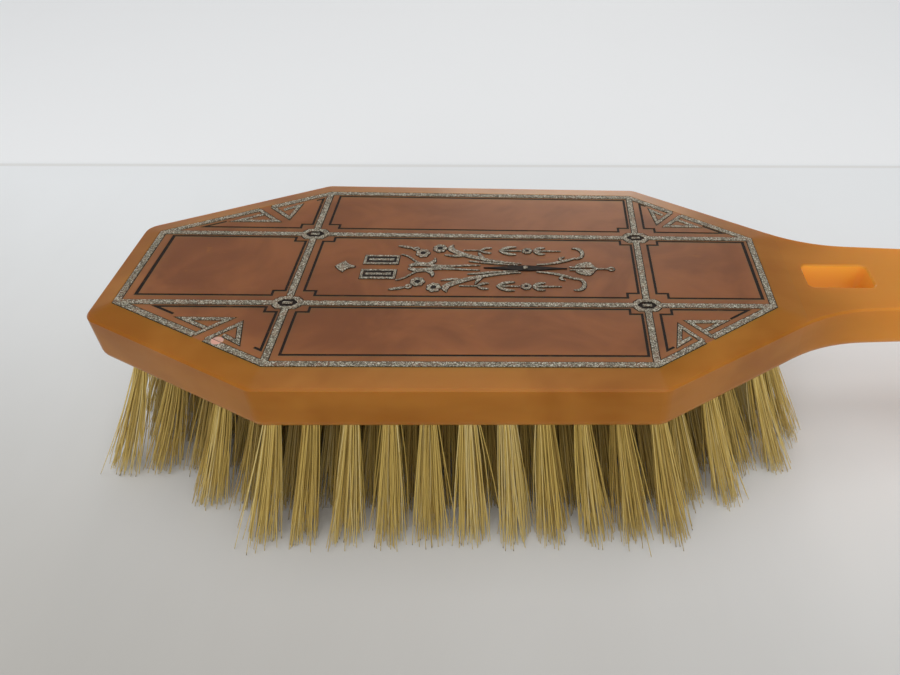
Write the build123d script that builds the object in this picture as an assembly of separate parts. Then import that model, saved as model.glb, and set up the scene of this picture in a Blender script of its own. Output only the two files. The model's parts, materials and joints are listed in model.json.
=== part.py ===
"""Vanity hairbrush: amber celluloid head and handle in one piece, drawn bristles, enamelled back.

Millimetres. The brush stands on its bristle tips at z = 0, +Z is up through the decorated back,
and +X runs from the middle of the head's long sides along the handle. The brush is symmetric
about the X-Z plane. The head is a little longer beyond the middle than towards the handle.
"""

import os
from math import ceil, cos, floor, hypot, pi, sin

from build123d import *

# --- Head and handle, seen from above -------------------------------------------------
head_length_out = 63.0  # from the middle to the blunt end away from the handle
head_length_in = 59.0  # from the middle to the end that meets the handle
head_half_width = 30.4
shoulder_x = 32.0  # where the long sides end and the slanted sides begin
end_half_width = 13.6  # half the width of the blunt end
head_corner_radius = 3.0
neck_half_width = 10.4  # the handle where the slanted sides run into it
neck_radius = 30.0
waist_run = 35.0  # from the head's inner end to the slimmest place of the handle
waist_half_width = 8.9
waist_radius = 150.0
grip_run = 85.0  # to the widest place
grip_half_width = 10.9
grip_radius = 70.0
handle_length = 107.0
handle_tip_half_width = 5.6
handle_tip_slant = 6.0  # length of the slanted corners at the handle's end
handle_corner_radius = 3.0

# --- Heights ---------------------------------------------------------------------------
bristle_length = 25.6  # from the face of the bristle plate to the tips
plate_proud = 0.5  # the bristle plate stands this far below the head
body_thickness = 9.0
crown_rise = 0.9  # the decorated field above the outer edge
edge_roundover = 2.0  # under the head and handle
arris_chamfer = 0.35  # along the whole upper edge
field_corner_radius = 1.0

# --- Slot through the handle -----------------------------------------------------------
slot_run = 2.5  # from the head's inner end to the slot
slot_length = 12.6
slot_width = 7.0
slot_corner_radius = 1.2
slot_edge_radius = 0.4

# --- Bristle plate, tufts and drawing wires ---------------------------------------------
plate_inset = 2.2  # from the head's outline
plate_thickness = 4.5
plate_edge_radius = 0.4
row_count = 9
side_tuft_margin = 6.2  # from the head's long sides to the outermost rows
tuft_margin = 4.3  # from its ends and slanted sides to the nearest tuft's centre
tuft_pitch = 6.3
tuft_root_radius = 1.25
tuft_tip_radius = 2.9
splay_along = 0.18  # how far the tips spread, as a share of the root's distance from the middle
splay_across = 0.34
hole_clearance = 0.08
wire_diameter = 0.6
wire_overrun = 2.4  # each wire runs this far past its last tuft
groove_clearance = 0.05

# --- Decorated field --------------------------------------------------------------------
outer_border = 4.4  # from the head's blunt end to the middle of the silver outline
inner_border = 6.1  # the same at the handle
side_border = 4.8
shoulder_setback = 1.4  # how far the outline's corners lie inside the head's, along it
end_setback = 3.1  # and across it
field_margin = 0.8  # flat ground outside the outline's middle before the edge slopes away
silver_width = 1.05
edging_width = 0.16  # the thin dark edge of all the silver
frame_width = 0.48
end_frame_width = 0.65
frame_gap = 1.6  # from the middle of a silver line to the middle of the black frame beside it
frame_shift = (0.42, 0.46)  # the black frames are printed this far out of register
notch_length = 2.0  # the stepped corners of the black frames
notch_width = 1.3
long_hook = 3.6  # run of the corner frames along the slanted side, at the long line
short_hook = 1.2  # and at the cross line
ring_length = 4.6
ring_width = 3.2
ring_cut = 0.8  # slanted corners of the crossing rings
ring_band = 0.62
ring_bar_length = 1.6
ring_bar_width = 0.55
scroll_width = 0.62  # the triangular scrolls that the outline folds into
groove_depth = 0.3
silver_proud = 0.07
black_below = 0.05
relief_height = 0.12  # glitter painted in relief on the middle panel
relief_edge_height = 0.05  # the dark coat under it
relief_edge_width = 0.13  # shows this much all round
bead_height = 0.3
bead_clearance = 0.02

# --- Middle ornament --------------------------------------------------------------------
ornament_half_length = 25.7  # as drawn below, before it is fitted to its panel
ornament_half_width = 7.4
ornament_end_gap = 3.3  # to the black frame round it
ornament_side_gap = 1.5
ornament_weight = 1.25  # how heavily its strokes are painted
spade_x = -23.0
spade_half_length = 1.75
spade_half_width = 1.7
bars_x = -16.8
bar_length = 6.2
bar_width = 2.7
bar_y = 2.2
bar_band = 0.42
bar_core_length = 4.5
bar_core_width = 0.6
rosette_places = [(-9.6, 4.4), (-6.6, 6.0)]
rosette_radius = 0.82  # to the middle of the petals
rosette_petal_radius = 0.46
rosette_petals = 7
rosette_eye_radius = 0.5
spray_y = 5.5
spray_rosette_x = 9.6
spray_rosette_size = 0.72
spindle_x = 9.4
spindle_half_length = 7.6
spindle_half_width = 0.72
bead_radius = 0.42
tulip_x = 19.4
tulip_length = 3.0
tulip_half_width = 1.45
stem_end_x = 24.3
stem_width = 0.26
end_ring_x = 25.1
end_ring_radius = 0.6
end_ring_band = 0.26

# --- Worked out from the sizes above ------------------------------------------------------
plate_face_z = bristle_length
body_bottom_z = plate_face_z + plate_proud
arris_z = body_bottom_z + body_thickness
field_z = arris_z + crown_rise
groove_floor = field_z - groove_depth
plate_top_z = plate_face_z + plate_thickness
groove_floor_z = plate_top_z - wire_diameter - groove_clearance
slant_in = (head_half_width - end_half_width) / (head_length_in - shoulder_x)
neck_x = head_length_in + (end_half_width - neck_half_width) / slant_in
slot_x = head_length_in + slot_run + slot_length / 2
waist_x = head_length_in + waist_run
grip_x = head_length_in + grip_run
handle_end_x = head_length_in + handle_length
row_pitch = 2 * (head_half_width - side_tuft_margin) / (row_count - 1)
field_length_out = head_length_out - outer_border
field_length_in = head_length_in - inner_border
field_half_width = head_half_width - side_border
long_line_y = end_half_width - end_setback
cross_line_x = shoulder_x - shoulder_setback
inner_x = cross_line_x - frame_gap
outer_x = cross_line_x + frame_gap
inner_y = long_line_y - frame_gap
outer_y = long_line_y + frame_gap
ornament_scale = min(
    (inner_x - ornament_end_gap) / ornament_half_length,
    (inner_y - ornament_side_gap) / ornament_half_width,
)


def octagon(length_in, length_out, half_width, shoulder, end_width):
    """The eight corners of a stretched octagon, anticlockwise from the handle's side."""
    upper = [(length_in, end_width), (shoulder, half_width)]
    upper += [(-shoulder, half_width), (-length_out, end_width)]
    return upper + [(x, -y) for x, y in reversed(upper)]


def polygon(points):
    """A flat face with straight sides through the points."""
    return make_face(Polyline(*points, close=True))


def rounded(points, radius):
    """A flat face whose corners have the given radius, or one radius each."""
    return make_face(FilletPolyline(*points, radius=radius, close=True))


def rectangle(x, y, length, width):
    """A flat rectangle about a middle point."""
    return Pos(x, y) * Rectangle(length, width)


def ribbon(points, width):
    """A line of even width through the points, with mitred turns."""
    sides = ([], [])
    for i, (x, y) in enumerate(points):
        before = points[i - 1] if i else None
        after = points[i + 1] if i + 1 < len(points) else None
        directions = []
        for a, b in ((before, (x, y)), ((x, y), after)):
            if a and b:
                run = hypot(b[0] - a[0], b[1] - a[1])
                directions.append(((b[0] - a[0]) / run, (b[1] - a[1]) / run))
        ux = sum(d[0] for d in directions) / len(directions)
        uy = sum(d[1] for d in directions) / len(directions)
        mitre = width / 2 / (ux * ux + uy * uy)
        sides[0].append((x - uy * mitre, y + ux * mitre))
        sides[1].append((x + uy * mitre, y - ux * mitre))
    return polygon(sides[0] + sides[1][::-1])


def ring(points, width):
    """A closed line of even width whose middle runs through the points."""
    face = polygon(points)
    return offset(face, width / 2, kind=Kind.INTERSECTION) - offset(
        face, -width / 2, kind=Kind.INTERSECTION
    )


def stroke(points, widths):
    """A brush stroke: a smooth line through the points, as wide at each one as the list says."""
    line = Spline(*points)
    last = len(points) - 1
    sides = ([], [])
    for i, (point, width) in enumerate(zip(points, widths)):
        at = line.param_at_point(point) if 0 < i < last else i / last
        tangent = line.tangent_at(at)
        for side, half in zip(sides, (width / 2, -width / 2)):
            side.append((point[0] - half * tangent.Y, point[1] + half * tangent.X))
    edges = [Spline(*side) if len(side) > 2 else Line(*side) for side in sides]
    caps = [Line(sides[0][i], sides[1][i]) for i in (0, -1) if widths[i] > 0]
    return make_face(edges + caps)


def both_sides(face):
    """A shape and its mirror image across the brush's long axis."""
    return face + mirror(face, about=Plane.XZ)


def four_corners(face):
    """A shape and its mirror images across both axes of the head."""
    return both_sides(face + mirror(face, about=Plane.YZ))


def both_ends(draw):
    """What a function draws for the field's inner end, and for its outer end, turned about."""
    return draw(field_length_in) + mirror(draw(field_length_out), about=Plane.YZ)


def slope_to(length):
    """How steeply the slanted side of the field comes in towards an end at the given length."""
    return (field_half_width - long_line_y) / (length - cross_line_x)


def raise_from(z, face, height):
    """A solid of the given height that stands on z."""
    return extrude(Pos(0, 0, z) * face, height)


# --- The body ------------------------------------------------------------------------------

head_points = octagon(
    head_length_in, head_length_out, head_half_width, shoulder_x, end_half_width
)
field_line_points = octagon(
    field_length_in, field_length_out, field_half_width, cross_line_x, long_line_y
)


def body_outline():
    """Head and handle in one outline, with flowing neck, waist and grip."""
    upper = [
        (handle_end_x, handle_tip_half_width),
        (handle_end_x - handle_tip_slant, grip_half_width),
        (grip_x, grip_half_width),
        (waist_x, waist_half_width),
        (neck_x, neck_half_width),
        (shoulder_x, head_half_width),
        (-shoulder_x, head_half_width),
        (-head_length_out, end_half_width),
    ]
    radii = [handle_corner_radius, handle_corner_radius, grip_radius, waist_radius, neck_radius]
    radii += [head_corner_radius] * 3
    return rounded(upper + [(x, -y) for x, y in reversed(upper)], radii + radii[::-1])


def crown():
    """The low hip that rises from the upper edge of the head to the decorated field."""
    foot = offset(rounded(head_points, head_corner_radius), -arris_chamfer)
    top = rounded(field_ground_points(), field_corner_radius)
    rings = [(Pos(0, 0, arris_z) * foot).wire(), (Pos(0, 0, field_z) * top).wire()]
    return Solid.make_loft(rings, ruled=True)


def field_ground_points():
    """The corners of the flat ground: the outline's middle line grown by the margin all round."""
    corners = []
    for length, sign in ((field_length_in, 1), (field_length_out, -1)):
        slope = slope_to(length)
        run = hypot(1, slope)
        end = (sign * (length + field_margin), long_line_y + field_margin * (run - slope))
        side = (sign * (cross_line_x + field_margin * (run - 1) / slope),
                field_half_width + field_margin)
        corners += [end, side] if sign > 0 else [side, end]
    return corners + [(x, -y) for x, y in reversed(corners)]


def slot_cutter():
    """The rounded slot through the handle."""
    face = RectangleRounded(slot_length, slot_width, slot_corner_radius)
    return raise_from(body_bottom_z - 1, Pos(slot_x, 0) * face, body_thickness + 2)


def plate_outline():
    """The bristle plate's edge, and the edge of the recess that holds it."""
    return offset(rounded(head_points, head_corner_radius + plate_inset), -plate_inset)


def bare_body():
    """Head and handle with rounded edges, slot and plate recess, before the enamel grooves."""
    slab = raise_from(body_bottom_z, body_outline(), body_thickness)
    slab = fillet(slab.faces().sort_by(Axis.Z)[0].edges(), edge_roundover)
    slab = chamfer(slab.faces().sort_by(Axis.Z)[-1].edges(), arris_chamfer)
    slab -= slot_cutter()
    rims = []
    for face in (slab.faces().sort_by(Axis.Z)[0], slab.faces().sort_by(Axis.Z)[-1]):
        rims += face.inner_wires()[0].edges()
    body = fillet(rims, slot_edge_radius) + crown()
    recess = raise_from(body_bottom_z - 1, plate_outline(), 1 + plate_thickness - plate_proud)
    return body - recess


# --- Bristle plate, tufts and wires ------------------------------------------------------------


def tuft_section(x, y, z, grow=0.0):
    """Middle and radius of a tuft at height z: it leans outwards and fans towards its tips."""
    drop = (plate_face_z - z) / bristle_length
    radius = tuft_root_radius + (tuft_tip_radius - tuft_root_radius) * drop + grow
    return x * (1 + splay_along * drop), y * (1 + splay_across * drop), radius


def tuft_solid(x, y, low, high, grow=0.0):
    """The part of one tuft between two heights, or the hole that clears it."""
    rings = []
    for z in (low, high):
        cx, cy, radius = tuft_section(x, y, z, grow)
        rings.append(Pos(cx, cy, z) * Circle(radius).wire())
    return Solid.make_loft(rings, ruled=True)


def row_places():
    """Root places of every tuft, one list for each row, set in quincunx."""
    rows = []
    for row in range(row_count):
        y = (row - (row_count - 1) / 2) * row_pitch
        shift = 0.5 * ((row - row_count // 2) % 2)
        first = ceil(-tuft_reach(head_length_out, y) / tuft_pitch - shift)
        last = floor(tuft_reach(head_length_in, y) / tuft_pitch - shift)
        rows.append([((i + shift) * tuft_pitch, y) for i in range(first, last + 1)])
    return rows


def tuft_reach(head_length, y):
    """How far from the middle a row at y may run towards an end of the head."""
    slope = (head_half_width - end_half_width) / (head_length - shoulder_x)
    slanted = shoulder_x + (head_half_width - abs(y) - tuft_margin * hypot(1, slope)) / slope
    return min(head_length - tuft_margin, slanted)


def draw_wire(places):
    """The straight wire that holds one row, and the groove in the plate's back that takes it."""
    first, last = (tuft_section(*places[i], groove_floor_z) for i in (0, -1))
    length = last[0] - first[0] + 2 * wire_overrun
    middle = (first[0] + last[0]) / 2
    radius = wire_diameter / 2
    lying = Rot(0, 90, 0) * Cylinder(radius, length)
    wire = Pos(middle, first[1], groove_floor_z + radius) * lying
    width = wire_diameter + 2 * groove_clearance
    depth = plate_top_z - groove_floor_z
    groove = Pos(middle, first[1], plate_top_z) * Box(
        length + 2 * groove_clearance, width, 2 * depth
    )
    return wire, groove


def bristle_plate(rows):
    """The drilled plate: a hole for each tuft and a groove for each wire."""
    plate = raise_from(plate_face_z, plate_outline(), plate_thickness)
    plate = fillet(plate.faces().sort_by(Axis.Z)[0].edges(), plate_edge_radius)
    cutters = []
    for places in rows:
        cutters.append(draw_wire(places)[1])
        cutters += [
            tuft_solid(x, y, plate_face_z - 1, groove_floor_z, hole_clearance) for x, y in places
        ]
    return plate.cut(*cutters)


# --- Enamel lines set in grooves -----------------------------------------------------------------
# Every silver shape is drawn with a growth: 0 for the silver, more for the dark edge round it.


def corner_spot(length, along, across):
    """A place in a corner panel, as shares of the panel's runs along and across the head."""
    x = cross_line_x + along * (length - cross_line_x)
    return x, long_line_y + across * (field_half_width - long_line_y)


# Each scroll: its fold on the outline, two tips and its free end, as shares of the panel.
outer_scroll = [(0.45, 0.55), (0.295, 0.29), (0.56, 0.285), (0.387, 0.463)]
inner_scroll = [(0.372, 0.628), (0.22, 0.365), (0.186, 0.675), (0.284, 0.56)]


def outline_gap(length, grow):
    """The gap in the outline between the folds of the two scrolls."""
    trim = grow / hypot(length - cross_line_x, field_half_width - long_line_y)
    folds = []
    for scroll, sign in ((inner_scroll, 1), (outer_scroll, -1)):
        along, across = scroll[0]
        folds.append(corner_spot(length, along + sign * trim, across - sign * trim))
    return ribbon(folds, 3 * silver_width)


def silver_outline(grow=0.0):
    """The wide line round the field, open between the scrolls on each slanted side."""
    line = ring(field_line_points, silver_width + 2 * grow)
    return line - both_sides(both_ends(lambda length: outline_gap(length, grow)))


def folded_scroll(length, shares, grow):
    """One triangular scroll, drawn in two lengths so that it may cross itself."""
    fold, near, far, end = [corner_spot(length, *share) for share in shares]
    halfway = ((near[0] + far[0]) / 2, (near[1] + far[1]) / 2)
    width = scroll_width + 2 * grow
    return ribbon([fold, near, halfway], width) + ribbon([halfway, far, end], width)


def scroll_pair(length, grow):
    """The two scrolls in one corner panel."""
    return folded_scroll(length, outer_scroll, grow) + folded_scroll(length, inner_scroll, grow)


def corner_scrolls(grow=0.0):
    """The glitter scrolls that the outline folds into on each slanted side."""
    scrolls = both_sides(both_ends(lambda length: scroll_pair(length, grow)))
    return scrolls - silver_outline(grow)


def inside_outline():
    """The ground inside the silver outline."""
    return offset(polygon(field_line_points), -silver_width / 2, kind=Kind.INTERSECTION)


def crossings(face):
    """A shape repeated at the four places where the silver lines cross."""
    return four_corners(Pos(cross_line_x, long_line_y) * face)


def ring_face(shrink=0.0):
    """The oblong of a crossing ring with its corners cut off."""
    length, width = ring_length / 2 - shrink, ring_width / 2 - shrink
    return polygon(octagon(length, length, width, length - ring_cut, width - ring_cut))


def silver_long_lines(grow=0.0):
    """Two lines along the head, stopped by the crossing rings."""
    span = field_length_in + field_length_out
    middle = (field_length_in - field_length_out) / 2
    line = rectangle(middle, long_line_y, span, silver_width + 2 * grow)
    return (both_sides(line) & inside_outline()) - crossings(ring_face())


def silver_cross_lines(grow=0.0):
    """Two lines across the head, stopped by the crossing rings."""
    line = rectangle(cross_line_x, 0, silver_width + 2 * grow, 2 * field_half_width)
    both = line + mirror(line, about=Plane.YZ)
    return (both & inside_outline()) - crossings(ring_face())


def crossing_rings():
    return crossings(ring_face() - ring_face(ring_band))


def crossing_eyes():
    return crossings(ring_face(ring_band) - Rectangle(ring_bar_length, ring_bar_width))


def crossing_bars():
    return crossings(Rectangle(ring_bar_length, ring_bar_width))


def filled_rings(grow=0.0):
    """The crossing rings with all that they hold."""
    return crossings(ring_face(-grow))


def silver_edging():
    """The thin dark line along both sides of all the silver."""
    lines = (silver_long_lines, silver_cross_lines, filled_rings, corner_scrolls)
    edging = silver_outline(edging_width)
    for draw in lines:
        edging += draw(edging_width)
    edging -= silver_outline()
    for draw in lines:
        edging -= draw()
    return edging


def out_of_register(face):
    """A black frame where it was really printed, beside its true place."""
    return Pos(*frame_shift) * face


def middle_frame():
    """The black frame round the ornament, stepped at all four corners."""
    quarter = [
        (inner_x, inner_y - notch_width),
        (inner_x - notch_length, inner_y - notch_width),
        (inner_x - notch_length, inner_y),
    ]
    upper = quarter + [(-x, y) for x, y in reversed(quarter)]
    return out_of_register(ring(upper + [(x, -y) for x, y in reversed(upper)], frame_width))


def side_frames():
    """The black frames of the two long side panels, stepped beside the crossings."""
    far_y = field_half_width - frame_gap
    half = [
        (inner_x, far_y),
        (inner_x, outer_y + notch_width),
        (inner_x - notch_length, outer_y + notch_width),
        (inner_x - notch_length, outer_y),
    ]
    frame = ring(half + [(-x, y) for x, y in reversed(half)], frame_width)
    return out_of_register(both_sides(frame))


def end_frame(length):
    """The black frame of one end panel, whose outermost side is heavier."""
    far_x = length - frame_gap - end_frame_width / 2
    upper = [
        (outer_x, inner_y - notch_width),
        (outer_x + notch_length, inner_y - notch_width),
        (outer_x + notch_length, inner_y),
        (far_x, inner_y),
    ]
    frame = ring(upper + [(x, -y) for x, y in reversed(upper)], frame_width)
    return frame + rectangle(far_x, 0, end_frame_width, 2 * inner_y + frame_width)


def end_frames():
    return out_of_register(both_ends(end_frame))


def corner_frame(length):
    """The open black angle in one corner panel, with a step at the crossing and two hooks."""
    slope = slope_to(length)
    run = frame_gap * hypot(1, slope)
    far_x = length - (frame_gap + run) / slope
    far_y = field_half_width - frame_gap * slope - run
    points = [
        (far_x - long_hook, outer_y + long_hook * slope),
        (far_x, outer_y),
        (outer_x + notch_length, outer_y),
        (outer_x + notch_length, outer_y + notch_width),
        (outer_x, outer_y + notch_width),
        (outer_x, far_y),
        (outer_x + short_hook, far_y - short_hook * slope),
    ]
    return ribbon(points, frame_width)


def corner_frames():
    return out_of_register(both_sides(both_ends(corner_frame)))


# --- Ornament in relief on the middle panel ----------------------------------------------------
# Every glitter shape is drawn with a growth: 0 for the glitter, more for the dark coat under it.


def painted(strokes, grow):
    """Strokes on both sides of the ornament, each a list of points and a list of widths."""
    shape = Sketch()
    for points, widths in strokes:
        shape += stroke(points, [ornament_weight * width + 2 * grow for width in widths])
    return both_sides(shape)


def motif_spade(grow=0.0):
    """The small spade that starts the ornament, pointing away from the handle."""
    tip = (spade_x - spade_half_length - grow, 0)
    lobe = (spade_x - 0.1 * spade_half_length, spade_half_width + grow)
    stalk = (spade_x + spade_half_length + grow, 0.18 + grow)
    before = (spade_x - 0.6 * spade_half_length, 0.5 * spade_half_width + grow)
    after = (spade_x + 0.3 * spade_half_length, 0.4 * spade_half_width + grow)
    upper = [Spline(tip, before, lobe), Spline(lobe, after, stalk)]
    lower = [mirror(edge, about=Plane.XZ) for edge in upper]
    return make_face(upper + lower + [Line(stalk, (stalk[0], -stalk[1]))])


def oblong(length, width):
    """A rectangle in both cartouche places."""
    return both_sides(rectangle(bars_x, bar_y, length, width))


def bar_fill():
    return oblong(bar_length - 2 * bar_band, bar_width - 2 * bar_band)


def bar_core():
    return oblong(bar_core_length, bar_core_width)


def motif_bars():
    """Two oblong cartouches, each with a glitter core."""
    return oblong(bar_length, bar_width) - bar_fill() + bar_core()


def motif_bar_fills():
    """The dark enamel inside the cartouches."""
    return bar_fill() - bar_core()


def flower(size, grow=0.0):
    """A ring of round petals, at full or lesser size, filled to its middle."""
    reach = size * rosette_radius
    shape = Circle(reach)
    for i in range(rosette_petals):
        turn = 2 * pi * i / rosette_petals
        petal = Circle(size * rosette_petal_radius + grow)
        shape += Pos(reach * cos(turn), reach * sin(turn)) * petal
    return shape


def rosette_spots():
    """Where the rosettes sit on one side of the ornament, each with its size."""
    spots = [(x, y, 1.0) for x, y in rosette_places]
    return spots + [(spray_rosette_x, spray_y, spray_rosette_size)]


def flowers(grow=0.0):
    return both_sides(Sketch() + [Pos(x, y) * flower(size, grow) for x, y, size in rosette_spots()])


def motif_rosette_eyes():
    """The dark enamel drops in the rosettes."""
    eyes = [Pos(x, y) * Circle(size * rosette_eye_radius) for x, y, size in rosette_spots()]
    return both_sides(Sketch() + eyes)


def motif_rosettes():
    return flowers() - motif_rosette_eyes()


def motif_scrolls(grow=0.0):
    """The stems that leave the first loop, swell into flames and close on the spindle."""
    strokes = [
        ([(-11.6, 0.3), (-9.6, 0.95), (-7.4, 0.5), (-3.0, 0.5), (1.2, 0.75)],
         [0.4, 0.8, 0.6, 0.34, 0.1]),
        ([(-8.6, 1.0), (-7.4, 1.7), (-7.2, 2.9)], [0.3, 0.6, 0.1]),
        ([(-13.5, 3.9), (-12.0, 3.2), (-10.4, 1.6), (-9.2, 0.95)], [0.16, 0.22, 0.22, 0.16]),
        ([(-4.2, 7.3), (-4.6, 6.0), (-3.0, 4.6), (0.6, 3.0), (4.6, 1.9), (8.6, 1.35)],
         [0.1, 0.95, 0.85, 0.65, 0.4, 0.16]),
        ([(-5.6, 4.0), (-3.6, 3.6), (-1.6, 3.9)], [0.1, 0.45, 0.3]),
        ([(-1.0, 2.0), (1.0, 1.75), (4.0, 1.3), (8.0, 0.95)], [0.14, 0.34, 0.3, 0.12]),
        ([(0.6, 5.0), (0.9, 4.1), (1.6, 2.95)], [0.1, 0.4, 0.4]),
    ]
    return painted(strokes, grow)


def motif_sprays(grow=0.0):
    """The side sprays: a stalk with leaves, before and after its rosette."""
    y = spray_y
    strokes = [
        ([(-2.2, y), (0.9, y)], [0.14, 0.2]),
        ([(4.7, y), (8.5, y)], [0.3, 0.18]),
        ([(11.0, y), (15.9, y)], [0.4, 0.1]),
    ]
    for sign in (1, -1):
        strokes += [
            ([(0.9, y), (1.6, y + 0.55 * sign), (3.0, y + 0.8 * sign)], [0.1, 0.4, 0.1]),
            ([(4.4, y), (5.6, y + 0.85 * sign), (7.6, y + 1.2 * sign)], [0.1, 0.5, 0.1]),
            ([(10.9, y + 0.1 * sign), (11.7, y + 0.8 * sign), (13.0, y + sign)], [0.3, 0.5, 0.1]),
        ]
    return painted(strokes, grow)


def motif_tendrils(grow=0.0):
    """The ringed tendrils that trail from the rosettes towards the cartouches."""
    loop = Pos(-11.0, 5.8) * (Circle(0.58 + grow) - Circle(0.22))
    tail = painted([([(-14.4, 6.7), (-13.0, 6.4), (-11.5, 5.95)], [0.1, 0.45, 0.2])], grow)
    return tail + both_sides(loop)


def spindle(grow=0.0):
    """The outline of the spindle that lies in the middle of the ornament."""
    places = [-1, -0.5, 0, 0.5, 1]
    shares = [0.0, 0.55, 1.0, 0.5, 0.0]
    points = [(spindle_x + place * spindle_half_length, 0) for place in places]
    return stroke(points, [0.1 + 2 * (grow + share * spindle_half_width) for share in shares])


def motif_spindle():
    """The black spindle, open for its bead."""
    return spindle() - Pos(spindle_x) * Circle(bead_radius + bead_clearance)


def motif_spindle_bead():
    return Pos(spindle_x) * Circle(bead_radius)


def motif_flares(grow=0.0):
    """The pair of curling leaves beyond the spindle."""
    strokes = [
        ([(11.4, 1.15), (13.6, 1.4), (16.0, 2.1), (18.6, 3.3)], [0.14, 0.3, 0.42, 0.2]),
        ([(18.4, 3.1), (19.9, 4.2), (19.6, 5.9), (18.0, 6.4)], [0.3, 0.45, 0.55, 0.1]),
        ([(16.4, 2.2), (15.8, 3.1), (16.6, 3.6)], [0.4, 0.45, 0.1]),
    ]
    return painted(strokes, grow)


def motif_tulip(grow=0.0):
    """The three-petalled tulip, its stem and the tiny ring that ends the ornament."""
    tip = tulip_x + tulip_length
    side = tulip_half_width
    strokes = [
        ([(17.4, 0.5), (18.8, 0.45), (20.4, 0.75), (tip, 0.1)], [0.1, 0.4, 0.7, 0.1]),
        ([(18.6, 0.9), (20.0, side), (tip - 0.6, 0.75)], [0.14, 0.5, 0.2]),
        ([(tip - 0.6, 0.75), (20.9, side + 0.35), (19.8, side + 0.2)], [0.2, 0.3, 0.08]),
    ]
    stem = rectangle((tip - 0.3 + stem_end_x) / 2, 0, stem_end_x - tip + 0.7, stem_width + 2 * grow)
    loop = Circle(end_ring_radius + grow) - Circle(end_ring_radius - end_ring_band)
    return painted(strokes, grow) + stem + Pos(end_ring_x) * loop


def ornament_ground():
    """The dark coat under the whole ornament, which edges every stroke."""
    grow = relief_edge_width
    shape = motif_spade(grow) + oblong(bar_length + 2 * grow, bar_width + 2 * grow)
    for draw in (flowers, motif_scrolls, motif_sprays, motif_tendrils, spindle):
        shape += draw(grow)
    return shape + motif_flares(grow) + motif_tulip(grow)


# --- Build and write every piece ------------------------------------------------------------------

silver_inlays = {
    "silver_outline": silver_outline(),
    "silver_long_lines": silver_long_lines(),
    "silver_cross_lines": silver_cross_lines(),
    "corner_scrolls": corner_scrolls(),
    "crossing_rings": crossing_rings(),
    "crossing_bars": crossing_bars(),
}
black_inlays = {
    "silver_edging": silver_edging(),
    "middle_frame": middle_frame(),
    "side_frames": side_frames(),
    "end_frames": end_frames(),
    "corner_frames": corner_frames(),
    "crossing_eyes": crossing_eyes(),
}
ornament = {
    "motif_spade": motif_spade(),
    "motif_bars": motif_bars(),
    "motif_bar_fills": motif_bar_fills(),
    "motif_rosettes": motif_rosettes(),
    "motif_rosette_eyes": motif_rosette_eyes(),
    "motif_scrolls": motif_scrolls(),
    "motif_sprays": motif_sprays(),
    "motif_tendrils": motif_tendrils(),
    "motif_spindle": motif_spindle(),
    "motif_flares": motif_flares(),
    "motif_tulip": motif_tulip(),
}


def fitted(face):
    """A shape of the ornament at the size that its panel takes."""
    return scale(face, by=ornament_scale)


pieces = {}
grooves = []
for name, face in silver_inlays.items():
    pieces[name] = raise_from(groove_floor, face, groove_depth + silver_proud)
    grooves.append(raise_from(groove_floor, face, groove_depth + 1))
for name, face in black_inlays.items():
    pieces[name] = raise_from(groove_floor, face, groove_depth - black_below)
    grooves.append(raise_from(groove_floor, face, groove_depth + 1))
coat_z = field_z + relief_edge_height
pieces["ornament_ground"] = raise_from(field_z, fitted(ornament_ground()), relief_edge_height)
for name, face in ornament.items():
    pieces[name] = raise_from(coat_z, fitted(face), relief_height)
pieces["motif_spindle_bead"] = raise_from(coat_z, fitted(motif_spindle_bead()), bead_height)

body = bare_body()
for groove in grooves:
    body -= groove
pieces["brush_body"] = body

rows = row_places()
pieces["bristle_plate"] = bristle_plate(rows)
for number, places in enumerate(rows, start=1):
    pieces[f"draw_wire_{number}"] = draw_wire(places)[0]
    tufts = [tuft_solid(x, y, 0, groove_floor_z) for x, y in places]
    pieces[f"bristle_row_{number}"] = Compound(children=tufts)

os.makedirs("parts", exist_ok=True)
for name, piece in pieces.items():
    export_step(piece, f"parts/{name}.step")
    print(name, len(piece.solids()), round(piece.volume, 2))
print("tufts", sum(len(places) for places in rows))
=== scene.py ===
"""Finish of a vanity hairbrush: amber celluloid, stained and enamelled back, natural bristles.

Metres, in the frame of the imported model: the brush stands on its bristle tips at z = 0, +Z is up
through the decorated back and +X runs from the middle of the head along the handle.
"""

import json
from math import hypot, pi, radians, sqrt
from random import Random

import bmesh
import bpy
from bpy.props import FloatProperty, FloatVectorProperty, IntProperty, PointerProperty
from mathutils import Matrix, Vector
from mathutils.geometry import convex_hull_2d


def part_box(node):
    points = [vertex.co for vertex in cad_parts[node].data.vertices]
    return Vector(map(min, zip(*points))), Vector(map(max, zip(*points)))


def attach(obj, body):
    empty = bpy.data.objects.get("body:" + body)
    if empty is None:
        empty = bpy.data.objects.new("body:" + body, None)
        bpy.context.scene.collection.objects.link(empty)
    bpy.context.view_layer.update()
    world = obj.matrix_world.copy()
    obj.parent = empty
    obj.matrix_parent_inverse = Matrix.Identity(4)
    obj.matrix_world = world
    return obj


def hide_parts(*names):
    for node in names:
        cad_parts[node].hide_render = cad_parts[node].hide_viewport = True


bl_info = {
    "name": "Vanity Hairbrush",
    "version": (1, 0, 0),
    "blender": (4, 5, 0),
    "location": "View3D > Sidebar > Brush",
    "description": "Finishes the celluloid, enamel and bristles of a dressing-table hairbrush",
    "category": "Object",
}

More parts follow.
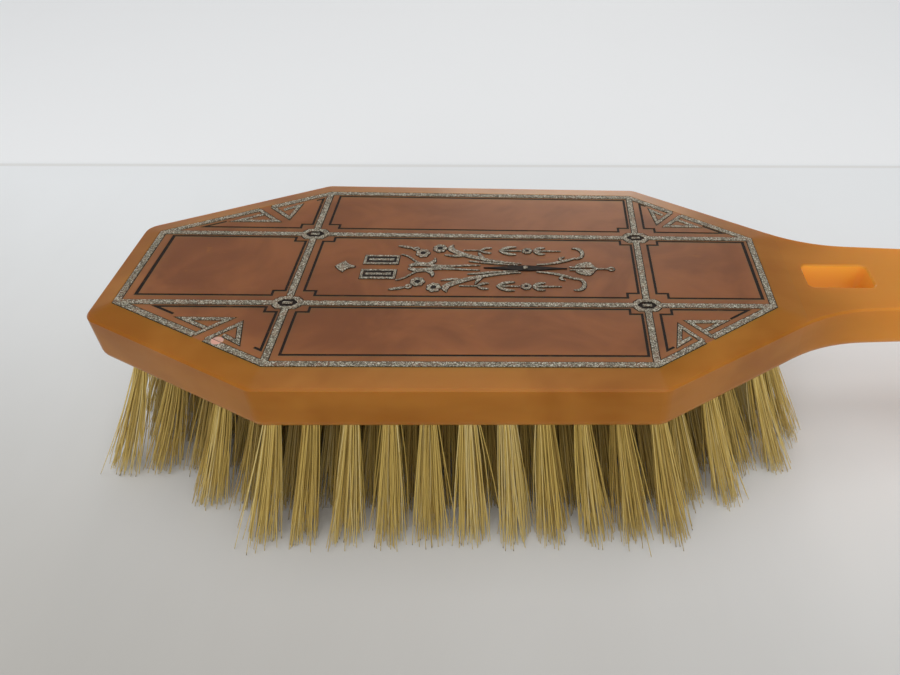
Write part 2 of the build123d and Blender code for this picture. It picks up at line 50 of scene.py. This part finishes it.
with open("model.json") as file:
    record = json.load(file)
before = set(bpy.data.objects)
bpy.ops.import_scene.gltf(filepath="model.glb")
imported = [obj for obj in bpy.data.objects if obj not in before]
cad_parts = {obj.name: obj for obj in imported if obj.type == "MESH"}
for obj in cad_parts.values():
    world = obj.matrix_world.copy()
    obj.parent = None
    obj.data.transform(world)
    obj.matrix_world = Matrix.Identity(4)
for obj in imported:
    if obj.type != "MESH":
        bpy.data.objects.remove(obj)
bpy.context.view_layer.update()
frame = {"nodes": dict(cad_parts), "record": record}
nodes = frame["nodes"]
mm = 0.001


def slot_nodes(name):
    """The model's nodes that take their finish from one slot of the record."""
    subparts = frame["record"]["subparts"]
    return [nodes[part["node"]] for part in subparts if part["material_slot"] == name]


# --- Settings ---------------------------------------------------------------------------------


def colour(name, description, default):
    """A colour setting."""
    return FloatVectorProperty(
        name=name, description=description, default=default, subtype="COLOR", min=0.0, max=1.0
    )


def length(name, description, default):
    """A length setting, in metres."""
    return FloatProperty(name=name, description=description, default=default, unit="LENGTH")


def share(name, description, default):
    """A setting from 0 to 1."""
    return FloatProperty(
        name=name, description=description, default=default, subtype="FACTOR", min=0.0, max=1.0
    )


class CelluloidSettings(bpy.types.PropertyGroup):
    """Colours and surface of the celluloid."""

    light: colour("Light amber", "The paler clouds", (0.36, 0.138, 0.014))
    deep: colour("Deep amber", "The darker clouds", (0.26, 0.086, 0.002))
    glow: colour("Glow", "The handle, where light shines through", (0.74, 0.29, 0.035))
    lit: colour("Lit walls", "The walls of the slot", (0.95, 0.46, 0.07))
    stain: colour("Stain", "The stained ground inside the silver outline", (0.17, 0.058, 0.020))
    pale_stain: colour("Thin stain", "Where the stain is thin", (0.33, 0.120, 0.040))
    pearl: colour("Pearl", "The chip of pink pearl at one scroll", (0.72, 0.36, 0.27))
    under: colour("Bristle plate", "The plate that holds the bristles", (0.55, 0.24, 0.07))
    cloud: length("Cloud size", "How large the soft clouds in the amber are", 22 * mm)
    roughness: share("Roughness", "Of the polished surface", 0.34)


class EnamelSettings(bpy.types.PropertyGroup):
    """Glitter and black enamel."""

    glitter: colour("Glitter", "The pale grains", (0.42, 0.375, 0.27))
    green: colour("Green glitter", "Grains with a green cast", (0.28, 0.34, 0.25))
    spark: colour("Sparks", "The brightest grains", (0.85, 0.83, 0.74))
    grit: colour("Grit", "The dark grains", (0.075, 0.055, 0.030))
    black: colour("Black", "The dark lines", (0.010, 0.005, 0.003))
    grain: length("Grain size", "Of the glitter", 0.15 * mm)


class BristleSettings(bpy.types.PropertyGroup):
    """Size, number and colour of the bristles."""

    per_tuft: IntProperty(name="Bristles", description="In each tuft", default=84, min=1)
    radius: length("Radius", "Of one bristle at its root", 0.118 * mm)
    segments: IntProperty(name="Segments", description="Along one bristle", default=5, min=1)
    straw: colour("Straw", "The middle of the bristles", (0.74, 0.53, 0.135))
    pale: colour("Pale", "The lightest bristles", (0.92, 0.76, 0.36))
    dark: colour("Olive", "The darkest bristles", (0.42, 0.27, 0.06))
    # The depth colour is painted shade, laid over the inner tufts and deepest towards their roots.
    depth: colour("Depth", "Between the tufts", (0.20, 0.110, 0.022))
    fleck: colour("Fleck", "Brown specks on the trimmed tips", (0.10, 0.055, 0.02))
    seed: IntProperty(name="Seed", description="Of the bristles' random lie", default=7)


class StageSettings(bpy.types.PropertyGroup):
    """Floor, lights and camera."""

    floor: colour("Floor", "The pale ground", (0.86, 0.88, 0.89))
    # The front colour is painted shade: the ground grows darker towards the front, where less light falls.
    front: colour("Front", "The ground nearest the front", (0.41, 0.39, 0.35))
    behind: colour("Behind", "The ground beyond the seam", (0.95, 0.955, 0.96))
    # The seam colour is painted shade, a faint dark line along the seam far behind.
    seam: colour("Seam", "The faint joint across the ground", (0.78, 0.78, 0.77))
    lens: FloatProperty(name="Lens", description="Focal length in millimetres", default=30.0)
    shift: FloatProperty(name="Shift", description="Of the picture across the lens", default=-0.14)


# --- Shader expressions --------------------------------------------------------------------------


mix_factor, mix_first, mix_second = 0, 6, 7  # input sockets of a Mix node set to colour
mix_result = 2  # its output socket


class Value:
    """One socket inside a finish. Arithmetic on it adds Math nodes."""

    def __init__(self, finish, socket):
        self.finish = finish
        self.socket = socket

    def maths(self, operation, *values):
        inputs = dict(enumerate(values))
        return self.finish.node("ShaderNodeMath", {"operation": operation}, inputs)

    def __add__(self, other):
        return self.maths("ADD", self, other)

    def __sub__(self, other):
        return self.maths("SUBTRACT", self, other)

    def __rsub__(self, other):
        return self.maths("SUBTRACT", other, self)

    def __mul__(self, other):
        return self.maths("MULTIPLY", self, other)

    def __truediv__(self, other):
        return self.maths("DIVIDE", self, other)

    __radd__ = __add__
    __rmul__ = __mul__

    def __abs__(self):
        return self.maths("ABSOLUTE", self)

    def low(self, other):
        return self.maths("MINIMUM", self, other)

    def high(self, other):
        return self.maths("MAXIMUM", self, other)

    def ramp(self, start, end):
        """0 up to start, 1 from end on, smooth between."""
        inputs = {"Value": self, "From Min": start, "From Max": end}
        return self.finish.node("ShaderNodeMapRange", {"interpolation_type": "SMOOTHSTEP"}, inputs)


class Finish:
    """A material being built. Every node comes from node()."""

    def __init__(self, name):
        self.material = bpy.data.materials.new(name)
        self.material.use_nodes = True
        self.tree = self.material.node_tree
        self.tree.nodes.clear()

    def node(self, kind, settings, inputs, output=0):
        """A new node: its settings first, then the values or links of its sockets."""
        node = self.tree.nodes.new(kind)
        for name, value in settings.items():
            if name == "stops":
                self.set_stops(node.color_ramp, value)
            else:
                setattr(node, name, value)
        for name, value in inputs.items():
            if isinstance(value, Value):
                self.tree.links.new(value.socket, node.inputs[name])
            else:
                node.inputs[name].default_value = value
        return Value(self, node.outputs[output]) if node.outputs else None

    @staticmethod
    def set_stops(ramp, stops):
        while len(ramp.elements) < len(stops):
            ramp.elements.new(0.5)
        for element, (place, tint) in zip(ramp.elements, stops):
            element.position = place
            element.color = (*tint, 1.0)

    def place(self):
        """Object coordinates, the same as the model's own."""
        return self.node("ShaderNodeTexCoord", {}, {}, "Object")

    def axes(self, place):
        """X, Y and Z of a place."""
        parts = self.node("ShaderNodeSeparateXYZ", {}, {0: place})
        return [Value(self, parts.socket.node.outputs[i]) for i in range(3)]

    def stretched(self, place, scale):
        """A place with each axis scaled, for drawn-out patterns."""
        return self.node("ShaderNodeMapping", {}, {"Vector": place, "Scale": scale})

    def noise(self, place, size, detail=2.0, roughness=0.5, distortion=0.0):
        """Soft noise whose patches are about the given size."""
        inputs = {
            "Vector": place,
            "Scale": 1 / size,
            "Detail": detail,
            "Roughness": roughness,
            "Distortion": distortion,
        }
        return self.node("ShaderNodeTexNoise", {}, inputs, "Fac")

    def blend(self, factor, first, second):
        """The first colour where the factor is 0, the second where it is 1."""
        inputs = {mix_factor: factor, mix_first: self.tint(first), mix_second: self.tint(second)}
        return self.node("ShaderNodeMix", {"data_type": "RGBA"}, inputs, mix_result)

    @staticmethod
    def tint(value):
        return value if isinstance(value, Value) else (*value, 1.0)

    def bump(self, height, strength, distance):
        inputs = {"Height": height, "Strength": strength, "Distance": distance}
        return self.node("ShaderNodeBump", {}, inputs)

    def surface(self, inputs):
        """Closes the finish with its shader, and returns the material."""
        shader = self.node("ShaderNodeBsdfPrincipled", {}, inputs)
        self.node("ShaderNodeOutputMaterial", {}, {"Surface": shader})
        return self.material


def paint(objects, material):
    """Gives every object the one material."""
    for each in objects:
        each.data.materials.clear()
        each.data.materials.append(material)


# --- Celluloid -------------------------------------------------------------------------------------


chip_back, chip_near = 39.1 * mm, 20.3 * mm  # the pearl chip, from the middle of the head
chip_rim, chip_core = 1.05 * mm, 0.85 * mm
slot_rim, slot_core = 1.6 * mm, 1.2 * mm  # how far past the opening's box its lit walls reach
slot_lip, slot_deep = 1.0 * mm, 1.6 * mm  # below the top of that box
glow_start, glow_full = 48 * mm, 92 * mm  # along the handle
glow_share = 0.85
stain_rim, stain_full = -0.6 * mm, -0.5 * mm  # the stain ends just outside the outline's middle
stain_run = 5 * mm  # from the outline to where the stain is thick
field_low, field_high = 0.5 * mm, 0.4 * mm  # below the ornament's ground


def clouded_amber(finish, place, settings):
    """Soft clouds and drawn streaks between the two ambers."""
    clouds = finish.noise(place, settings.cloud, 3.0, 0.55, 0.6)
    drawn = finish.stretched(place, (0.35, 1.0, 1.4))
    streaks = finish.noise(drawn, settings.cloud / 3, 2.0, 0.5, 0.3)
    mix = (clouds * 0.7 + streaks * 0.3).ramp(0.34, 0.66)
    return finish.blend(mix, settings.deep, settings.light)


def inside_outline(x, y):
    """How far a place lies inside the middle of the silver outline, in metres."""
    low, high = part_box("silver_outline")
    cross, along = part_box("silver_cross_lines")[1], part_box("silver_long_lines")[1]
    half_line = (high.y - cross.y) / 2
    side = high.y - half_line
    corner = Vector((cross.x - half_line, along.y - half_line))
    across = side - abs(y)
    depth = across
    for end, out in ((high.x - half_line, x), (-low.x - half_line, 0 - x)):
        run, rise = end - corner.x, side - corner.y
        slanted = ((end - out) * rise + (corner.y - abs(y)) * run) / hypot(run, rise)
        depth = depth.low(end - out).low(slanted)
    return depth


def in_slot(x, y, z):
    """1 on the walls of the slot through the handle."""
    low, high = [Vector(corner) for corner in frame["record"]["physics"]["openings"][0]["box_m"]]
    middle, half = (low + high) / 2, (high - low) / 2
    beyond = (abs(x - middle.x) - half.x).high(abs(y - middle.y) - half.y)
    return beyond.ramp(slot_rim, slot_core) * z.ramp(high.z - slot_lip, high.z - slot_deep)


def pearl_chip(x, y):
    """1 over the chip of pink pearl where two scrolls meet."""
    out_x, out_y = x + chip_back, y + chip_near
    return (out_x * out_x + out_y * out_y).ramp(chip_rim**2, chip_core**2)


def body_finish(settings):
    """Polished amber, stained reddish brown over the ground inside the silver outline."""
    finish = Finish("amber_celluloid")
    place = finish.place()
    x, y, z = finish.axes(place)
    amber = clouded_amber(finish, place, settings)
    depth = inside_outline(x, y)
    field_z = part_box("ornament_ground")[0].z
    inside = depth.ramp(stain_rim, stain_full)
    ground = inside * z.ramp(field_z - field_low, field_z - field_high)
    amber = finish.blend(x.ramp(glow_start, glow_full) * glow_share, amber, settings.glow)
    amber = finish.blend(in_slot(x, y, z), amber, settings.lit)
    patches = finish.noise(place, 14 * mm, 3.0, 0.6, 0.8)
    wisps = finish.noise(finish.stretched(place, (1.0, 0.45, 1.0)), 7 * mm, 2.0, 0.5, 1.2)
    thick = depth.ramp(0.0, stain_run) * 0.45 + patches.ramp(0.3, 0.7) * 0.45 + wisps * 0.1
    stained = finish.blend(thick, settings.pale_stain, settings.stain)
    scuffs = finish.noise(finish.stretched(place, (0.6, 1.6, 1.0)), 4 * mm, 6.0, 0.7, 1.6)
    stained = finish.blend(scuffs.ramp(0.60, 0.78) * 0.35, stained, settings.light)
    stained = finish.blend(pearl_chip(x, y), stained, settings.pearl)
    dull = finish.noise(place, 9 * mm, 4.0, 0.6)
    scratches = finish.noise(finish.stretched(place, (1.0, 6.0, 1.0)), 3 * mm, 4.0, 0.65)
    return finish.surface(
        {
            "Base Color": finish.blend(ground, amber, stained),
            "Roughness": settings.roughness + 0.16 * dull - 0.06,
            "IOR": 1.46,
            "Specular IOR Level": 0.27,
            "Subsurface Weight": 0.45,
            "Subsurface Radius": (1.0, 0.40, 0.08),
            "Subsurface Scale": 6 * mm,
            "Normal": finish.bump(scratches, 0.05, 0.2 * mm),
        }
    )


def plate_finish(settings):
    """The satin amber of the bristle plate."""
    finish = Finish("plate_celluloid")
    place = finish.place()
    clouds = finish.noise(place, 12 * mm, 3.0)
    sawn = finish.noise(finish.stretched(place, (0.2, 3.0, 1.0)), 1.5 * mm, 2.0)
    return finish.surface(
        {
            "Base Color": finish.blend(clouds.ramp(0.3, 0.7), settings.deep, settings.under),
            "Roughness": 0.42 + 0.15 * clouds,
            "Subsurface Weight": 0.2,
            "Subsurface Radius": (1.0, 0.42, 0.12),
            "Subsurface Scale": 3 * mm,
            "Normal": finish.bump(sawn, 0.08, 0.1 * mm),
        }
    )


brass_dark, brass_light = (0.55, 0.38, 0.14), (0.74, 0.56, 0.24)


def wire_finish():
    """Drawn brass wire."""
    finish = Finish("drawn_brass")
    drawn = finish.noise(finish.stretched(finish.place(), (0.1, 1.0, 1.0)), 0.2 * mm, 2.0)
    return finish.surface(
        {
            "Base Color": finish.blend(drawn, brass_dark, brass_light),
            "Metallic": 1.0,
            "Roughness": 0.28 + 0.12 * drawn,
        }
    )


class BRUSH_OT_celluloid(bpy.types.Operator):
    """Finish the head, handle, bristle plate and drawing wires"""

    bl_idname = "brush.celluloid"
    bl_label = "Celluloid and Wires"

    def execute(self, context):
        settings = context.scene.brush_celluloid
        paint(slot_nodes("amber_celluloid"), body_finish(settings))
        paint(slot_nodes("plate_celluloid"), plate_finish(settings))
        paint(slot_nodes("draw_wire"), wire_finish())
        return {"FINISHED"}


# --- Enamel ------------------------------------------------------------------------------------------


def glitter_finish(settings, celluloid):
    """Coarse silver glitter in dark grit, worn thin in places."""
    finish = Finish("glitter_enamel")
    place = finish.place()
    x, y = finish.axes(place)[:2]
    inputs = {"Vector": place, "Scale": 1 / settings.grain}
    cells = finish.node("ShaderNodeTexVoronoi", {}, inputs, "Color")
    grains = finish.axes(cells)
    heights = finish.node("ShaderNodeTexVoronoi", {}, inputs, "Distance")
    worn = finish.noise(place, 1.4 * mm, 4.0, 0.7)
    bright = grains[0] * 0.8 + worn * 0.3
    tint = finish.blend(grains[1] * 0.3, settings.glitter, settings.green)
    grit = finish.blend(worn.ramp(0.45, 0.65) * 0.7, settings.grit, celluloid.stain)
    mixed = finish.blend(bright.ramp(0.36, 0.95), grit, tint)
    spark = grains[0].ramp(0.86, 0.92)
    mixed = finish.blend(spark * 0.5, mixed, settings.spark)
    chip = pearl_chip(x, y)
    return finish.surface(
        {
            "Base Color": finish.blend(chip, mixed, celluloid.pearl),
            "Metallic": spark * 0.6 * (1.0 - chip),
            "Roughness": 0.35 + 0.35 * grains[2],
            "Normal": finish.bump(heights + grains[2] * 0.6, 0.7, 0.10 * mm),
        }
    )


def black_finish(settings, celluloid):
    """Black enamel, rubbed thin in places so that the stain shows through."""
    finish = Finish("black_enamel")
    place = finish.place()
    rubbed = finish.noise(place, 1.6 * mm, 4.0, 0.7).ramp(0.56, 0.72)
    lumps = finish.noise(place, 0.35 * mm, 2.0)
    return finish.surface(
        {
            "Base Color": finish.blend(rubbed * 0.3, settings.black, celluloid.stain),
            "Roughness": 0.5 + 0.3 * lumps,
            "Specular IOR Level": 0.2,
            "Normal": finish.bump(lumps, 0.5, 0.08 * mm),
        }
    )


class BRUSH_OT_enamel(bpy.types.Operator):
    """Finish the glitter and the black lines"""

    bl_idname = "brush.enamel"
    bl_label = "Enamel"

    def execute(self, context):
        settings = context.scene.brush_enamel
        paint(slot_nodes("glitter_enamel"), glitter_finish(settings, context.scene.brush_celluloid))
        paint(slot_nodes("black_enamel"), black_finish(settings, context.scene.brush_celluloid))
        return {"FINISHED"}


# --- Bristles ------------------------------------------------------------------------------------------

plate_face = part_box("bristle_plate")[0].z
start_z = plate_face + 1.2 * mm  # each bristle starts inside its hole
hole_fill = 0.9  # the bristles' roots keep this share of the tuft's radius
fan_power = 1.1  # a little over 1: bristles fan slightly late
tip_scatter = 0.5 * mm
trim_scatter = 0.8 * mm  # unevenness of the trimmed ends
bow = 0.35 * mm
tame_reach = (0.7, 1.28)  # how far most bristles spread, as shares of the tuft's tip radius
wild_share = 0.05  # bristles bent out of their tuft
wild_reach = (1.2, 1.9)
tuft_tones = (0.5, 0.08)  # mean and spread from tuft to tuft
bristle_tone_spread = 0.2
shaft_taper, tip_taper = 0.93, 0.75  # of each segment, and of the last
edge_depth = 1.6 * mm  # tufts nearer to the outline of all the roots stand in full light
shade_run = 5 * mm


def tufts_of(node):
    """Root and tip of every tuft in a row: middle and radius at the plate's face and at z = 0."""
    shape = bmesh.new()
    shape.from_mesh(nodes[node].data)
    bmesh.ops.remove_doubles(shape, verts=shape.verts, dist=0.001 * mm)
    left = set(shape.verts)
    tufts = []
    while left:
        island, edge = set(), {left.pop()}
        while edge:
            island |= edge
            edge = {e.other_vert(v) for v in edge for e in v.link_edges} - island
        left -= island
        tufts.append(tuft_ends([v.co.copy() for v in island]))
    shape.free()
    return sorted(tufts, key=lambda tuft: tuft[0].x)


def tuft_ends(points):
    """A tuft's root middle and radius where it leaves the plate, and tip middle and radius."""
    top_z = max(p.z for p in points)
    ends = []
    for rim_z in (top_z, 0.0):
        rim = [p for p in points if abs(p.z - rim_z) < 0.01 * mm]
        middle = sum(rim, Vector()) / len(rim)
        ends += [middle, max((p - middle).length for p in rim)]
    root, root_radius, tip, tip_radius = ends
    leave = (top_z - plate_face) / top_z
    return (
        root.lerp(tip, leave),
        root_radius + (tip_radius - root_radius) * leave,
        tip,
        tip_radius,
    )


def hull_depth(places):
    """Tells how far a place lies inside the outline of all the places."""
    corners = [places[i] for i in convex_hull_2d(places)]
    edges = [(a, b - a) for a, b in zip(corners, corners[1:] + corners[:1])]
    return lambda place: min(abs(run.cross(place - a)) / run.length for a, run in edges)


def bristle_lines(tufts, depth, settings, chance):
    """For every bristle: its middle line, its tone from 0, dark, to 1, pale, and its shade."""
    lines = []
    for root, root_radius, tip, tip_radius in tufts:
        shade = min(1.0, max(0.0, (depth(root.xy) - edge_depth) / shade_run))
        tuft_tone = chance.gauss(*tuft_tones)
        for _ in range(settings.per_tuft):
            turn = chance.uniform(0, 2 * pi)
            reach = sqrt(chance.random())
            out = Matrix.Rotation(turn, 3, "Z") @ Vector((1, 0, 0))
            start = root + out * reach * root_radius * hole_fill
            spread = reach * chance.uniform(*tame_reach)
            if chance.random() < wild_share:
                spread = reach * chance.uniform(*wild_reach)
            end = tip + out * spread * tip_radius
            end += Vector([chance.gauss(0, tip_scatter) for _ in range(2)] + [0])
            end.z = abs(chance.gauss(0, trim_scatter))
            sway = Vector([chance.gauss(0, bow) for _ in range(2)] + [0])
            tone = chance.gauss(tuft_tone, bristle_tone_spread)
            lines.append((bristle_path(start, end, sway, settings.segments), tone, shade))
    return lines


def bristle_path(start, end, sway, segments):
    """Points from inside the hole to the tip, fanning late and slightly bowed."""
    start.z = start_z
    points = []
    for i in range(segments + 1):
        run = i / segments
        point = start.lerp(end, run)
        fan = run**fan_power - run
        point.x += (end.x - start.x) * fan + sway.x * 4 * run * (1 - run)
        point.y += (end.y - start.y) * fan + sway.y * 4 * run * (1 - run)
        points.append(point)
    return points


def bristles(name, lines, settings):
    """One mesh of three-sided bristles along their middle lines, with a tone and a shade."""
    shape = bmesh.new()
    number = shape.verts.layers.int.new("number")
    tone = shape.verts.layers.float.new("tone")
    shaded = shape.verts.layers.float.new("shade")
    for i, (points, light, shade) in enumerate(lines):
        place = Matrix.Translation(points[0])
        made = bmesh.ops.create_circle(
            shape, cap_ends=True, radius=settings.radius, segments=3, matrix=place
        )
        for vert in made["verts"]:
            vert[number] = i
            vert[tone] = light
            vert[shaded] = shade
    ends = list(shape.faces)
    for step in range(1, settings.segments + 1):
        made = bmesh.ops.extrude_face_region(shape, geom=ends)["geom"]
        ends = [part for part in made if isinstance(part, bmesh.types.BMFace)]
        taper = shaft_taper if step < settings.segments else tip_taper
        for vert in (part for part in made if isinstance(part, bmesh.types.BMVert)):
            points = lines[vert[number]][0]
            vert.co = points[step] + (vert.co - points[step - 1]) * taper
    bmesh.ops.recalc_face_normals(shape, faces=shape.faces)
    return finished(name, shape)


def finished(name, shape, smooth=True):
    """A new object at the origin with the shape as its mesh."""
    mesh = bpy.data.meshes.new(name)
    shape.to_mesh(mesh)
    shape.free()
    if smooth:
        mesh.shade_smooth()
    else:
        mesh.shade_flat()
    piece = bpy.data.objects.new(name, mesh)
    bpy.context.scene.collection.objects.link(piece)
    return piece


def bristle_finish(settings):
    """Natural bristle: straw to olive from one bristle to the next, paler towards the tips, with painted
    shade on the inner tufts.
    """
    finish = Finish("natural_bristle")
    tone = finish.node("ShaderNodeAttribute", {"attribute_name": "tone"}, {}, "Fac")
    place = finish.place()
    z = finish.axes(place)[2]
    along = finish.noise(finish.stretched(place, (1.0, 1.0, 0.15)), 0.6 * mm, 2.0)
    light = tone * 0.8 + along * 0.2
    body = finish.blend(light.ramp(0.1, 0.5), settings.dark, settings.straw)
    body = finish.blend(light.ramp(0.5, 0.95), body, settings.pale)
    body = finish.blend(z.ramp(6 * mm, 0.0) * 0.3, body, settings.pale)
    # Painted shade: tufts inside the outer ring are darkened, more strongly towards the roots.
    shade = finish.node("ShaderNodeAttribute", {"attribute_name": "shade"}, {}, "Fac")
    deep = shade * (0.35 + 0.4 * z.ramp(8 * mm, 22 * mm))
    body = finish.blend(deep, body, settings.depth)
    fleck = z.ramp(0.9 * mm, 0.3 * mm) * finish.noise(place, 1.2 * mm, 1.0).ramp(0.52, 0.62)
    body = finish.blend(fleck * 0.85, body, settings.fleck)
    return finish.surface(
        {
            "Base Color": body,
            "Roughness": 0.38 + 0.2 * along,
            "IOR": 1.5,
        }
    )


class BRUSH_OT_bristles(bpy.types.Operator):
    """Set every tuft with its own bristles"""

    bl_idname = "brush.bristles"
    bl_label = "Bristles"

    def execute(self, context):
        settings = context.scene.brush_bristles
        material = bristle_finish(settings)
        rows = {n: tufts_of(n) for n in sorted(nodes) if n.startswith("bristle_row_")}
        depth = hull_depth([tuft[0].xy for tufts in rows.values() for tuft in tufts])
        for node, tufts in rows.items():
            row = node.removeprefix("bristle_row_")
            chance = Random(settings.seed * 100 + int(row))
            lines = bristle_lines(tufts, depth, settings, chance)
            piece = bristles(f"bristles_{row}", lines, settings)
            paint([piece], material)
            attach(piece, "root")
            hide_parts(node)
        return {"FINISHED"}


# --- Stage -----------------------------------------------------------------------------------------------

floor_half = 2.0
sky_tint, sky_strength = (0.93, 0.96, 1.0, 1.0), 0.44
lamps = (  # name, place, aim, size, power and colour
    ("window", (0.10, 1.20, 0.34), (0.0, 0.0, 0.02), 0.5, 2.8, (1.0, 0.94, 0.85)),
    ("overhead", (-0.05, 0.00, 0.70), (0.0, 0.0, 0.0), 0.5, 1.5, (1.0, 0.98, 0.96)),
    ("room", (0.05, -0.60, 0.30), (0.0, 0.0, 0.0), 0.8, 3.0, (1.0, 0.98, 0.95)),
)
seam_y = 105.5 * mm
seam_slope = 0.031
camera_place = Vector((11.17 * mm, -111.64 * mm, 116.52 * mm))
camera_turn = radians(4.15)  # from looking along +Y, towards +X
camera_drop = radians(40.95)  # below the horizon
camera_roll = radians(3.01)


def floor_finish(settings):
    """Matt white laminate with faint clouds, painted shade towards the front, and a line of painted shade at
    the seam far behind.
    """
    finish = Finish("floor")
    place = finish.place()
    x, y = finish.axes(place)[:2]
    cloud = finish.noise(place, 60 * mm, 3.0)
    rubbed = finish.noise(finish.stretched(place, (1.0, 0.3, 1.0)), 20 * mm, 4.0, 0.6, 1.0)
    # Painted shade: the ground darkens from behind towards the front and towards the left.
    light = (y + 0.3 * x).ramp(-140 * mm, 70 * mm) + 0.10 * cloud + 0.06 * rubbed - 0.08
    beyond = y - seam_slope * x - seam_y
    # Painted shade: a faint dark line along the seam, paler ground beyond it.
    seam = abs(beyond).ramp(0.5 * mm, 1.1 * mm) + beyond.ramp(40 * mm, 120 * mm)
    tint = finish.blend(light.low(1.0), settings.front, settings.floor)
    tint = finish.blend(beyond.ramp(0.0, 3 * mm) * 0.6, tint, settings.behind)
    return finish.surface(
        {
            "Base Color": finish.blend(seam.low(1.0), settings.seam, tint),
            "Roughness": 0.8,
            "Specular IOR Level": 0.1,
        }
    )


def area_light(name, place, aim, size, power, tint):
    """A square soft light that faces a point."""
    data = bpy.data.lights.new(name, "AREA")
    data.shape = "SQUARE"
    data.size = size
    data.energy = power
    data.color = tint
    light = bpy.data.objects.new(name, data)
    light.location = place
    light.rotation_euler = (Vector(aim) - Vector(place)).to_track_quat("-Z", "Y").to_euler()
    light.visible_camera = False
    bpy.context.scene.collection.objects.link(light)


class BRUSH_OT_stage(bpy.types.Operator):
    """Lay the floor, hang the lights and set the camera"""

    bl_idname = "brush.stage"
    bl_label = "Floor, Lights and Camera"

    def execute(self, context):
        settings = context.scene.brush_stage
        shape = bmesh.new()
        bmesh.ops.create_grid(shape, x_segments=1, y_segments=1, size=floor_half)
        floor = finished("floor", shape, smooth=False)
        paint([floor], floor_finish(settings))

        world = bpy.data.worlds.new("pale_room")
        world.use_nodes = True
        sky = world.node_tree.nodes["Background"]
        sky.inputs["Color"].default_value = sky_tint
        sky.inputs["Strength"].default_value = sky_strength
        context.scene.world = world
        for lamp in lamps:
            area_light(*lamp)

        data = bpy.data.cameras.new("camera")
        data.lens = settings.lens
        data.shift_x = settings.shift
        data.clip_start = 5 * mm
        camera = bpy.data.objects.new("camera", data)
        turn = Matrix.Rotation(-camera_turn, 4, "Z") @ Matrix.Rotation(pi / 2 - camera_drop, 4, "X")
        turn = turn @ Matrix.Rotation(camera_roll, 4, "Z")
        camera.matrix_world = Matrix.Translation(camera_place) @ turn
        context.scene.collection.objects.link(camera)
        context.scene.camera = camera
        context.scene.view_settings.view_transform = "Standard"
        return {"FINISHED"}


# --- Panel and start ----------------------------------------------------------------------------------------


class BRUSH_PT_panel(bpy.types.Panel):
    """The brush's settings and the steps that finish it"""

    bl_label = "Hairbrush"
    bl_idname = "BRUSH_PT_panel"
    bl_space_type = "VIEW_3D"
    bl_region_type = "UI"
    bl_category = "Brush"

    def draw(self, context):
        for name, kind in settings_groups.items():
            box = self.layout.box()
            for prop in kind.__annotations__:
                box.prop(getattr(context.scene, name), prop)
        for operator in operators:
            self.layout.operator(operator.bl_idname)


settings_groups = {
    "brush_celluloid": CelluloidSettings,
    "brush_enamel": EnamelSettings,
    "brush_bristles": BristleSettings,
    "brush_stage": StageSettings,
}
operators = (
    BRUSH_OT_celluloid,
    BRUSH_OT_enamel,
    BRUSH_OT_bristles,
    BRUSH_OT_stage,
)


def register():
    for kind in (*settings_groups.values(), *operators, BRUSH_PT_panel):
        bpy.utils.register_class(kind)
    for name, kind in settings_groups.items():
        setattr(bpy.types.Scene, name, PointerProperty(type=kind))


def unregister():
    for name in settings_groups:
        delattr(bpy.types.Scene, name)
    for kind in (BRUSH_PT_panel, *reversed(operators), *reversed(settings_groups.values())):
        bpy.utils.unregister_class(kind)


def main():
    register()
    bpy.ops.brush.celluloid()
    bpy.ops.brush.enamel()
    bpy.ops.brush.bristles()
    bpy.ops.brush.stage()


if __name__ == "__main__":
    main()
